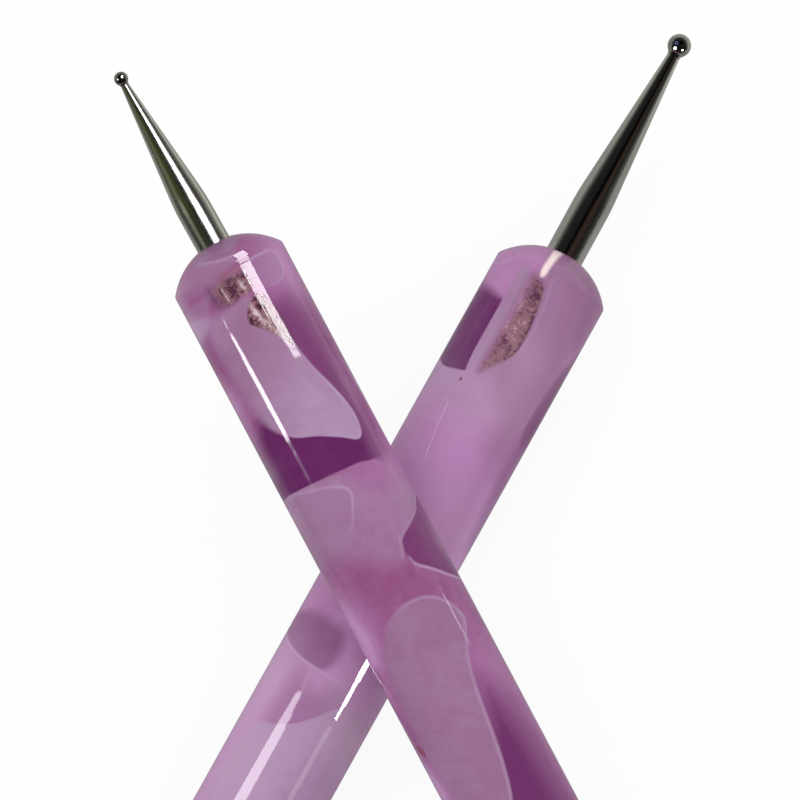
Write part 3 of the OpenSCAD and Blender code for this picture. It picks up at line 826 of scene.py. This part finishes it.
adhesive = {
    "grain": (1700, 4.0, 0.6, 2.4), "coarse": (700, 2.0, 0.5, 0.5), "grainShare": 2.2, "below": 1.6,
    "vein": tint(82, 38, 58), "copper": tint(184, 140, 142), "pale": tint(255, 246, 246),
    "copperFrom": (-0.2, 0.3), "paleFrom": (0.4, 0.95), "roughness": 0.35, "lit": 0.4, "bump": 0.00008}


# Set adhesive over a scored root: bright coppery grains between darker veins, with painted highlights and
# painted shade from its spots, and lit makes it glow in its own colour, a painted stand-in for the light that
# reaches it through the acrylic.
def adhesiveMaterial():
    material, wire = newMaterial("set adhesive")
    grain, coarse = wire.noise(*adhesive["grain"]), wire.noise(*adhesive["coarse"])
    light = grain * adhesive["grainShare"] + coarse - adhesive["below"] + wire.attribute("shine")
    colour = wire.mixColour(light.ease(*adhesive["copperFrom"]), adhesive["vein"], adhesive["copper"])
    colour = wire.mixColour(light.ease(*adhesive["paleFrom"]), colour, adhesive["pale"])
    # Its emission is painted light: the adhesive glows though it is no lamp
    finishMaterial(wire, wire.node("ShaderNodeBsdfPrincipled", {}, {
        "Base Color": colour, "Metallic": 0.0, "Roughness": adhesive["roughness"], "Emission Color": colour,
        "Emission Strength": adhesive["lit"], "Normal": wire.bump(grain, adhesive["bump"])}))
    return material


pointMaterials = {"shank": metalMaterial("shank"), "ball": metalMaterial("ball"),
                  "braze": metalMaterial("braze"), "adhesive": adhesiveMaterial()}


def finishPiece(made, node, part, body):
    made.data.materials.append(pointMaterials[part])
    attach(made, body)
    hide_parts(node)


def addTurned(node, part, body, place, outline, columns=96, paintedLightSpots=()):
    height, radius = (np.array(values) for values in zip(*outline))
    turn = turnsOf(columns)
    rings = ringsAt(place, height[1:-1], radius[1:-1], turn)
    poles = [place["origin"] + place["axis"] * height[end] * mm for end in (0, -1)]
    made = meshFromRings(node + "_turned", rings, *poles)
    along = np.repeat(height[1:-1], columns)
    setAttribute(made, "along", np.concatenate([along, [height[0], height[-1]]]))
    # Painted highlights and shade, which only the adhesive's material reads
    shine = levelOf(paintedLightRest, paintedLightSpots, along, np.tile(np.degrees(turn), len(height) - 2))
    setAttribute(made, "shine", np.concatenate([shine, [0, 0]]))
    finishPiece(made, node, part, body)


# How many rows the parts of an outline have
rowsOf = {"seat": 5, "cone": 28, "blend": 12, "shank": 8, "root": 12, "ball": 49, "bead": 9, "adhesive": 24}


# From the seat for the ball down the cone, over the blend to the shank, round the shoulder and to the root's
# end. The seat follows the ball, and the blend is an arc: r = shank - B (1 - cos a), h = start + B sin a.
def shankOutline(size):
    seatBall = size["ball"] + joint["gap"]
    seatAngle = np.linspace(0, math.asin(size["neck"] / seatBall), rowsOf["seat"])
    blendLength = joint["blend"] * math.tan(size["slope"] / 2)
    blendStart = size["coneHeight"] - blendLength
    blend = np.linspace(size["slope"], 0, rowsOf["blend"])
    blendHeight = blendStart + joint["blend"] * np.sin(blend)
    blendRadius = size["shank"] - joint["blend"] * (1 - np.cos(blend))
    seat = [(size["reach"] - seatBall * math.cos(a), seatBall * math.sin(a)) for a in seatAngle]
    cone = list(zip(np.linspace(size["neckHeight"], blendHeight[0], rowsOf["cone"]),
                    np.linspace(size["neck"], blendRadius[0], rowsOf["cone"])))
    curve = list(zip(blendHeight, blendRadius))[1:]
    shank = [(height, size["shank"]) for height in np.linspace(blendStart, 0, rowsOf["shank"])[1:]]
    rootEnd = -joint["root"] + joint["chamfer"]
    root = [(height, size["root"]) for height in np.linspace(0, rootEnd, rowsOf["root"])]
    end = [(-joint["root"], size["root"] - joint["chamfer"]), (-joint["root"], 0)]
    return seat + cone[1:] + curve + shank + root + end


def ballOutline(size):
    angle = np.linspace(0, np.pi, rowsOf["ball"])
    return [(size["reach"] + size["ball"] * math.cos(a), size["ball"] * math.sin(a)) for a in angle]


# A fillet of braze between ball and cone: its outer face is a hollow curve from the ball to the cone,
# and its inner faces lie on both.
def brazeOutline(size):
    spread = size["neck"] * joint["bead"]
    seatBall = size["ball"] + joint["gap"]
    climb = math.asin(size["neck"] / size["ball"]) + math.asin(spread / size["ball"])
    foot = np.array([size["neckHeight"] - spread * math.cos(size["slope"]),
                     size["neck"] + joint["gap"] + spread * math.sin(size["slope"])])
    top = np.array([size["reach"] - seatBall * math.cos(climb), seatBall * math.sin(climb)])
    corner = np.array([size["neckHeight"], size["neck"]]) + joint["hollow"]
    t = np.linspace(0, 1, rowsOf["bead"])[:, None]
    face = (1 - t) ** 2 * top + 2 * t * (1 - t) * corner + t ** 2 * foot
    start = math.asin(size["neck"] / size["ball"]) + joint["hollow"]
    inner = [(size["reach"] - seatBall * math.cos(a), seatBall * math.sin(a))
             for a in np.linspace(start, climb, rowsOf["seat"])]
    edge = (size["neckHeight"] + joint["beadEdge"], size["neck"] + joint["gap"])
    return inner[:-1] + [tuple(point) for point in face] + [edge]


def adhesiveOutline(size):
    outer = size["bore"] - joint["gap"]
    inner = size["root"] + joint["gap"]
    top = -joint["recess"]
    floor = -joint["root"] - joint["gap"]
    sleeve = [(height, outer) for height in np.linspace(top, size["boreEnd"], rowsOf["adhesive"])]
    return ([(floor, 0), (floor, inner), (top, inner)] + sleeve
            + [(size["boreEnd"] - outer / math.tan(math.radians(joint["drill"] / 2)), 0)])


# A bead is a ring with no pole, so its outline closes on itself instead
def addBead(node, body, place, outline, columns=96):
    height, radius = zip(*outline)
    rings = ringsAt(place, height, radius, turnsOf(columns))
    faces = ringFaces(len(height), columns, closed=True)[1]
    made = newObject(node + "_bead", rings.reshape(-1, 3), faces)
    smoothFaces(made.data, sharpFrom=40)
    finishPiece(made, node, "braze", body)


# A point's place has its height 0 at the shoulder, half the shank's pin below the mount
def pointPlace(name):
    mount = mounts[name + "_shank"]
    axis = np.array(mount["axis"], float)
    return placeAt(np.array(mount["pos_m"]) - axis * mount["dims"]["length_mm"] / 2 * mm, axis)


def addPoint(name, kind, body):
    size = pointSizes(kind)
    place = pointPlace(name)
    addTurned(name + "_shank", "shank", body, place, shankOutline(size))
    addTurned(name + "_ball", "ball", body, place, ballOutline(size), columns=64)
    addTurned(name + "_adhesive", "adhesive", body, place, adhesiveOutline(size),
              paintedLightSpots=points[kind]["shine"])
    addBead(name + "_braze", body, place, brazeOutline(size))
    return place


# Each stylus: its body, the kind of point at its upper and lower end, and its marbling
styluses = {
    "front": {"body": "front_stylus", "upper": "small", "lower": "large", "marbling": frontMarbling},
    "back": {"body": "back_stylus", "upper": "large", "lower": "small", "marbling": backMarbling},
}

rods = {}
for side, stylus in styluses.items():
    grip = mounts[side + "_grip"]
    gripAxis = np.array(grip["axis"], float)
    rods[side] = placeAt(np.array(grip["pos_m"]) + gripAxis * handle["length"] / 2 * mm, gripAxis)
    upperPlace = addPoint(side + "_" + stylus["upper"], stylus["upper"], stylus["body"])
    addPoint(side + "_" + stylus["lower"], stylus["lower"], stylus["body"])
    addHandle(side + "_handle", stylus["body"], stylus["marbling"], rods[side], upperPlace,
              pointSizes(stylus["upper"]), pointSizes(stylus["lower"]))
print("pieces made")


# Studio. Level is the light that the world gives, and floorGlow the white that the floor shows by itself.
studio = {"level": 0.72, "floorSize": 3.0, "floorGlow": 0.92, "paint": (0.92, 0.92, 0.92, 1)}


# 1 for rays of the camera, gloss and transmission, which see the studio plain white, and 0 for other rays
def seenRays(wire):
    seen = wire.node("ShaderNodeLightPath")
    glossy = Wire(wire.tree, seen.socket.node.outputs["Is Glossy Ray"])
    through = Wire(wire.tree, seen.socket.node.outputs["Is Transmission Ray"])
    return (seen + glossy + through).limit()


def glowing(wire, colour, strength=1.0):
    return wire.node("ShaderNodeEmission", {}, {"Color": colour, "Strength": strength})


def addWorld():
    world = bpy.data.worlds.new("studio")
    bpy.context.scene.world = world
    world.use_nodes = True
    world.node_tree.nodes.clear()
    wire = Wire(world.node_tree)
    level = studio["level"] + seenRays(wire) * (1 - studio["level"])
    background = wire.node("ShaderNodeBackground", {}, {"Color": (1, 1, 1, 1), "Strength": level})
    wire.node("ShaderNodeOutputWorld", {}, {"Surface": background})


# A square sheet on the table
def addSheet(name, material):
    half = studio["floorSize"] / 2
    corners = [(-half, -half, 0), (half, -half, 0), (half, half, 0), (-half, half, 0)]
    sheet = newObject(name, corners, [(0, 1, 2, 3)])
    sheet.data.materials.append(material)
    return sheet


def addFloor():
    material, wire = newMaterial("pale floor")
    paint = wire.node("ShaderNodeBsdfDiffuse", {}, {"Color": studio["paint"]})
    seen = seenRays(wire) * studio["floorGlow"]
    finishMaterial(wire, wire.mixShader(seen, paint, glowing(wire, (1, 1, 1, 1))))
    floor = addSheet("floor", material)
    floor.visible_glossy = False


# Only gloss sees a card: it shapes what polished surfaces mirror, and lights nothing
def hideCard(card):
    card.visible_camera = False
    card.visible_diffuse = False
    card.visible_shadow = False
    card.visible_volume_scatter = False


# Where a point of a studio piece is, across the photo, up it and above the table
def placeOn(wire):
    x = wire.node("ShaderNodeSeparateXYZ", {}, {"Vector": wire.objectPoint()})
    return x, Wire(wire.tree, x.socket.node.outputs["Y"]), Wire(wire.tree, x.socket.node.outputs["Z"])


# The squared distance from a place, (x - x0)^2 + (y - y0)^2, in square metres
def spreadFrom(x, y, place):
    return (x - place[0]) * (x - place[0]) + (y - place[1]) * (y - place[1])


# What gloss sees in place of the floor: a grey sheet, darker towards the lower ends, paler under the handles,
# whose edges mirror it, and palest beside the front point. A patch fades between two squared distances from
# its place, in metres.
glossFloor = {
    "fade": (0.005, 0.045), "lean": 0.1, "near": (0.05, 0.05, 0.044, 1), "beyond": (0.3, 0.302, 0.28, 1),
    "patches": [{"place": (0.045, 0.095), "fade": (0.0009, 0.0025), "colour": (0.6, 0.6, 0.53, 1)},
                {"place": (0.0, 0.015), "fade": (0.0009, 0.0021), "colour": (0.34, 0.32, 0.34, 1)}]}


def addGlossFloor():
    material, wire = newMaterial("grey sheet")
    x, y = placeOn(wire)[:2]
    colour = wire.mixColour((y + x * glossFloor["lean"]).ease(*glossFloor["fade"]),
                            glossFloor["near"], glossFloor["beyond"])
    for patch in glossFloor["patches"]:
        out = spreadFrom(x, y, patch["place"]).ease(*patch["fade"])
        colour = wire.mixColour(out, patch["colour"], colour)
    finishMaterial(wire, glowing(wire, colour))
    sheet = addSheet("gloss floor", material)
    sheet.visible_transmission = False
    hideCard(sheet)


# Side and height are where the bowl fades, in radii. Lift is from and to, in degrees.
bowl = {
    "radius": 0.62, "lift": (1.5, 89.5), "rows": 24, "columns": 64,
    "side": (-0.4, 0.25), "near": (0.02, 0.02, 0.017, 1), "beyond": (0.24, 0.245, 0.22, 1),
    "height": (0.0, 0.62), "top": (0.014, 0.014, 0.015, 1)}


# A dark bowl overhead, paler low down beyond the heads: p = R (cos e cos t, cos e sin t, sin e)
def addFlag():
    lift, turn = np.meshgrid(np.radians(np.linspace(*bowl["lift"], bowl["rows"])), turnsOf(bowl["columns"]),
                             indexing="ij")
    shell = np.stack([np.cos(lift) * np.cos(turn), np.cos(lift) * np.sin(turn), np.sin(lift)], -1)
    index, faces = ringFaces(bowl["rows"], bowl["columns"])
    flag = newObject("flag", bowl["radius"] * shell.reshape(-1, 3), faces + [index[-1].tolist()])
    material, wire = newMaterial("dark flag")
    side, height = (part / bowl["radius"] for part in placeOn(wire)[1:])
    low = wire.mixColour(side.ease(*bowl["side"]), bowl["near"], bowl["beyond"])
    finishMaterial(wire, glowing(wire, wire.mixColour(height.ease(*bowl["height"]), low, bowl["top"])))
    flag.data.materials.append(material)
    flag.visible_transmission = False
    hideCard(flag)


# Cards that a stylus mirrors as streaks, on its handle or its points. Each row of a streak says how far along
# the rod it is, and from where to where around. Reach is how far off the card stands, in millimetres, or far
# where it isn't given, and a nearer one is made of lamps. Dome follows the shape of the upper dome.
far = 220
white = (1, 0.98, 1)
cards = [
    {"rod": "front", "on": "handle", "strength": 20, "rows": [
        (4.0, -28.0, -27.0), (5.6, -28.7, -25.5), (8, -29.1, -24.7), (12, -28.9, -24.5), (13.4, -28.4, -25)]},
    {"rod": "front", "on": "handle", "strength": 1.8, "rows": [(13.5, -28.4, -25), (17, -28, -25.2)]},
    {"rod": "front", "on": "handle", "strength": 16, "rows": [
        (0, 11.5, 22.5), (4, 11.5, 22.5), (6, 13, 23), (8, 16, 23)]},
    {"rod": "front", "on": "point", "strength": 5, "rows": [
        (-62, 7, 20), (-30, 7, 20), (-6, 5.5, 23.5), (0, 5.5, 23.5)]},
    {"rod": "front", "on": "handle", "dome": True, "reach": 9, "strength": 9, "rows": [
        (-1.5, 15, 30), (-0.8, 13.2, 26), (-0.2, 12, 23.5), (0.0, 11.7, 22.8), (0.11, 11.5, 22.5)]},
    {"rod": "front", "on": "point", "reach": far + 5, "strength": 0.2, "colour": (1.0, 0.74, 0.8), "rows": [
        (-62, 20, 27), (-30, 20, 27), (-6, 23.5, 29), (0, 23.5, 29)]},
    {"rod": "front", "on": "handle", "strength": 5, "rows": [(28.8, 37.4, 39.4), (32.6, 37.6, 38.8)]},
    {"rod": "front", "on": "point", "strength": 0.42, "colour": (0.92, 1.0, 0.78), "rows": [
        (-22, -37, -24), (1, -37, -24)]},
    {"rod": "front", "on": "point", "strength": 0.13, "colour": (0.95, 1.0, 0.5), "rows": [
        (-62, -42, -25), (-22, -42, -25)]},
    {"rod": "front", "on": "point", "strength": 0.06, "colour": (0.9, 1.0, 0.35), "rows": [
        (-62, -25, -8), (1, -25, -8)]},
    {"rod": "back", "on": "handle", "strength": 9, "rows": [
        (36.8, -21.5, -16.8), (38, -22.3, -15.8), (40, -23.4, -14), (62, -25.5, -12)]},
    {"rod": "back", "on": "handle", "reach": 1.1, "strength": 30, "rows": [
        (31.2, 21.4, 27.6), (34, 22.2, 27.2), (36.2, 22.8, 26.2), (37.4, 23, 25.6)]},
    {"rod": "back", "on": "handle", "reach": 4, "strength": 1.5, "rows": [(38, 21.8, 26), (46, 19.5, 25.5)]},
    {"rod": "back", "on": "point", "strength": 0.045, "colour": (1.0, 0.62, 0.48), "rows": [
        (-62, 3, 18), (10, 3, 18)]},
]


# A card or near lamp is seen only in the gloss of the pieces that receive it
def mirrorOnly(made, receivers):
    made.visible_transmission = False
    mirrors = bpy.data.collections.new(made.name + " mirrors")
    made.light_linking.receiver_collection = mirrors
    for piece in receivers:
        mirrors.objects.link(piece)


def addCardPiece(name, corners, card, receivers):
    faces = [(row, row + 1, row + 3, row + 2) for row in range(0, len(corners) - 2, 2)]
    made = newObject(name, corners, faces)
    material, wire = newMaterial(name + " light")
    finishMaterial(wire, glowing(wire, (*card.get("colour", white), 1), float(card["strength"])))
    made.data.materials.append(material)
    hideCard(made)
    mirrorOnly(made, receivers)


# Where the camera's ray goes on from a place on a rod: it mirrors the camera's direction v about the surface
# normal n there, so it runs along 2 (n.v) n - v.
def mirrorEnd(rod, along, around, dome, reach):
    height, radius, turned = profileAt(along) if dome else (-along, rodRadius, math.pi / 2)
    around = math.radians(around)
    spoke = rod["right"] * math.sin(around) + rod["front"] * math.cos(around)
    spot = rod["origin"] + (spoke * radius + rod["axis"] * height) * mm
    normal = spoke * math.sin(turned) + rod["axis"] * math.cos(turned)
    toView = (cameraPlace - spot) / np.linalg.norm(cameraPlace - spot)
    return spot + (2 * (normal @ toView) * normal - toView) * reach * mm


# A lamp close to the part, in place of a card: a rectangle through the middles of the sides of its four
# corners. Its light per area is a card's of that strength: power = 4 strength x area.
def addGleam(name, corners, gleam, receivers):
    across = (corners[1] + corners[3] - corners[0] - corners[2]) / 2
    down = (corners[2] + corners[3] - corners[0] - corners[1]) / 2
    light = bpy.data.lights.new(name, "AREA")
    light.shape = "RECTANGLE"
    light.size, light.size_y = float(np.linalg.norm(across)), float(np.linalg.norm(down))
    light.energy = gleam["strength"] * 4 * light.size * light.size_y
    light.color = gleam.get("colour", white)
    # The lamp's x runs across, and its back is turned to the camera
    x = across / light.size
    z = np.cross(x, down)
    z *= np.sign(z @ toCamera) / np.linalg.norm(z)
    made = bpy.data.objects.new(name, light)
    made.matrix_world = mathutils.Matrix(np.stack([x, np.cross(z, x), z], 1).tolist()).to_4x4()
    made.location = sum(corners) / 4
    bpy.context.scene.collection.objects.link(made)
    made.visible_camera = False
    made.visible_diffuse = False
    mirrorOnly(made, receivers)


# A card is a strip through the ends of the rays that the edges of its streak mirror
def addCard(number, card):
    reach = card.get("reach", far)
    corners = [mirrorEnd(rods[card["rod"]], along, around, card.get("dome", False), reach)
               for along, *edges in card["rows"] for around in edges]
    receivers = [piece for piece in bpy.data.objects if piece.name.startswith(card["rod"] + "_")
                 and ("handle" if "_handle" in piece.name else "point") == card["on"]]
    if reach < far:
        for row in range(0, len(corners) - 2, 2):
            addGleam(f"gleam{number}_{row // 2}", corners[row:row + 4], card, receivers)
    else:
        addCardPiece(f"card{number}", corners, card, receivers)


# Small lamps near a ball, which mirrors them. At is where in its disc the glint lies, right and up, in radii,
# and reach and size are in millimetres.
glints = [
    {"ball": "back_large", "at": (-0.37, -0.23), "reach": 15, "size": 5.0, "strength": 24},
    {"ball": "back_large", "at": (0.24, -0.4), "reach": 15, "size": 3.4, "strength": 12},
    {"ball": "back_large", "at": (-0.26, 0.2), "reach": 18, "size": 11, "strength": 0.3,
     "colour": (0.4, 0.42, 1.0)},
    {"ball": "front_small", "at": (0.13, 0.34), "reach": 15, "size": 5.2, "strength": 14},
    {"ball": "front_small", "at": (-0.48, -0.12), "reach": 15, "size": 5.5, "strength": 3},
]


# A glint's normal is n = x right + y up + sqrt(1 - x^2 - y^2) v, and the lamp stands off along 2 (n.v) n - v
def addGlint(number, glint):
    middle = np.array(mounts[glint["ball"] + "_working_tip"]["pos_m"])
    ballRadius = points[glint["ball"].split("_")[1]]["ball"] / 2
    right = np.array([1.0, 0, 0])
    x, y = glint["at"]
    normal = x * right + y * np.cross(toCamera, right) + math.sqrt(1 - x * x - y * y) * toCamera
    mirrored = 2 * (normal @ toCamera) * normal - toCamera
    side = np.cross(mirrored, right)
    side /= np.linalg.norm(side)
    other = np.cross(mirrored, side)
    half = glint["size"] / 2 * mm
    centre = middle + (normal * ballRadius + mirrored * glint["reach"]) * mm
    corners = [centre + side * a * half + other * b * half for a, b in ((-1, -1), (1, -1), (-1, 1), (1, 1))]
    addGleam(f"glint{number}", corners, glint, [bpy.data.objects[glint["ball"] + "_ball_turned"]])


# Large soft lamps, from where they stand in metres, with their size and power in watts
lamps = [
    {"name": "key", "place": (-0.5, 0.35, 0.9), "size": 0.7, "power": 3.2},
    {"name": "fill", "place": (0.6, -0.2, 0.8), "size": 0.8, "power": 2.0},
]


def addLamp(lamp):
    light = bpy.data.lights.new(lamp["name"], "AREA")
    light.size = lamp["size"]
    light.energy = lamp["power"]
    made = bpy.data.objects.new(lamp["name"], light)
    made.location = lamp["place"]
    aim = np.array(view["aim"]) * mm - np.array(lamp["place"])
    flat = math.hypot(aim[0], aim[1])
    made.rotation_euler = (math.atan2(flat, -aim[2]), 0, math.atan2(aim[1], aim[0]) - math.pi / 2)
    made.visible_glossy = False
    bpy.context.scene.collection.objects.link(made)


addWorld()
addFloor()
addGlossFloor()
addFlag()
for number, card in enumerate(cards):
    addCard(number, card)
for number, glint in enumerate(glints):
    addGlint(number, glint)
for lamp in lamps:
    addLamp(lamp)
bpy.context.scene.view_settings.view_transform = "Standard"
print("studio lit")
